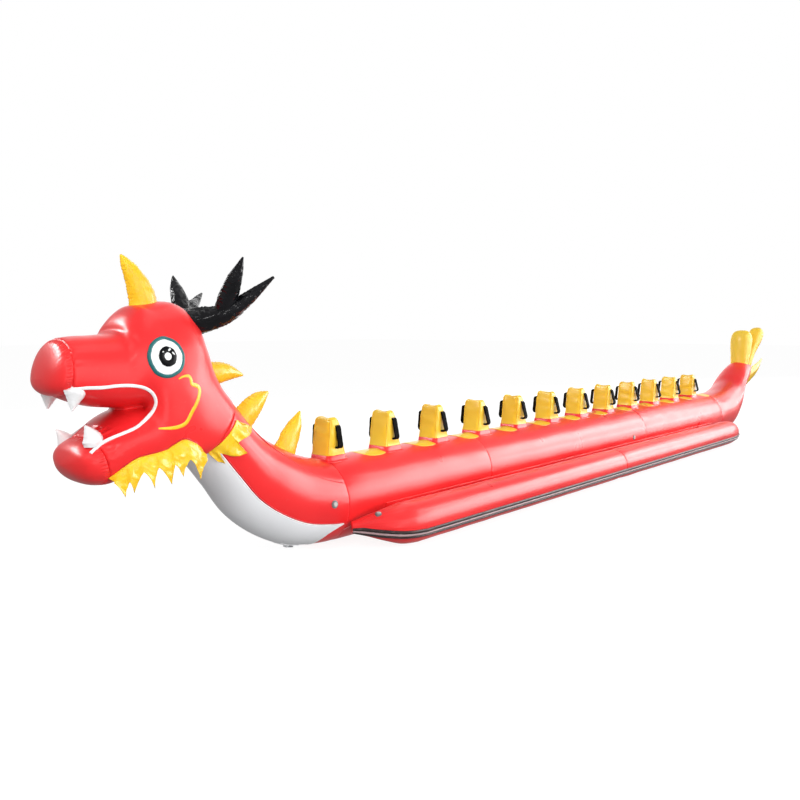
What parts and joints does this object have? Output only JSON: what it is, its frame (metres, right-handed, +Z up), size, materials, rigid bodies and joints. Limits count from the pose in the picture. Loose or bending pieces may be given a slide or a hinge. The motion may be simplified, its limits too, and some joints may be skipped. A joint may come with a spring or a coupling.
{
  "type": "inflatable banana boat",
  "caption": "Long towed inflatable tube boat with a dragon head, padded grip blocks along its back, a pontoon on each side and an upturned tail.",
  "frame": {"origin": "floor level under the middle of the boat's bounding box", "axes": "+X towards the bow and the dragon's head, +Y to port, +Z up"},
  "size_m": [11.0781, 1.3374, 1.9378],
  "materials": {
    "red_pvc": "glossy welded PVC tarpaulin",
    "yellow_pvc": "glossy welded PVC tarpaulin",
    "white_pvc": "glossy welded PVC tarpaulin",
    "black_vinyl": "shiny wrinkled vinyl and black webbing",
    "dark_rubber": "ribbed rub strake",
    "valve_plastic": "moulded grey valve cap",
    "ring_steel": "stainless wire"
  },
  "bodies": {
    "root": {"antler_port": "black_vinyl", "antler_starboard": "black_vinyl", "beard_frill_port": "yellow_pvc", "beard_frill_starboard": "yellow_pvc", "belly_panel": "white_pvc", "chin_block": "red_pvc", "collar_frill_port": "yellow_pvc", "collar_frill_starboard": "yellow_pvc", "eye_port": "white_pvc", "eye_starboard": "white_pvc", "grip_block_01": "yellow_pvc", "grip_block_02": "yellow_pvc", "grip_block_03": "yellow_pvc", "grip_block_04": "yellow_pvc", "grip_block_05": "yellow_pvc", "grip_block_06": "yellow_pvc", "grip_block_07": "yellow_pvc", "grip_block_08": "yellow_pvc", "grip_block_09": "yellow_pvc", "grip_block_10": "yellow_pvc", "grip_block_11": "yellow_pvc", "grip_block_12": "yellow_pvc", "head_skull": "red_pvc", "horn": "yellow_pvc", "hull_tube_aft": "red_pvc", "hull_tube_front": "red_pvc", "hull_tube_middle": "red_pvc", "joining_web_port": "red_pvc", "joining_web_starboard": "red_pvc", "lower_jaw": "red_pvc", "neck_spike_1": "yellow_pvc", "neck_spike_2": "yellow_pvc", "neck_spike_3": "yellow_pvc", "neck_tube": "red_pvc", "nose_block": "red_pvc", "pontoon_port": "red_pvc", "pontoon_starboard": "red_pvc", "rub_strake_port": "dark_rubber", "rub_strake_starboard": "dark_rubber", "tail_petal_centre": "yellow_pvc", "tail_petal_port": "yellow_pvc", "tail_petal_starboard": "yellow_pvc", "tail_spur_port": "yellow_pvc", "tail_spur_starboard": "yellow_pvc", "tail_trunk": "red_pvc", "tooth_lower_port": "white_pvc", "tooth_lower_starboard": "white_pvc", "tooth_upper_port": "white_pvc", "tooth_upper_starboard": "white_pvc", "tow_patch": "white_pvc", "tow_ring": "ring_steel", "upper_jaw": "red_pvc", "valve_hull": "valve_plastic", "valve_neck": "valve_plastic", "valve_pontoon_port": "valve_plastic", "valve_pontoon_starboard": "valve_plastic"}
  },
  "joints": []
}
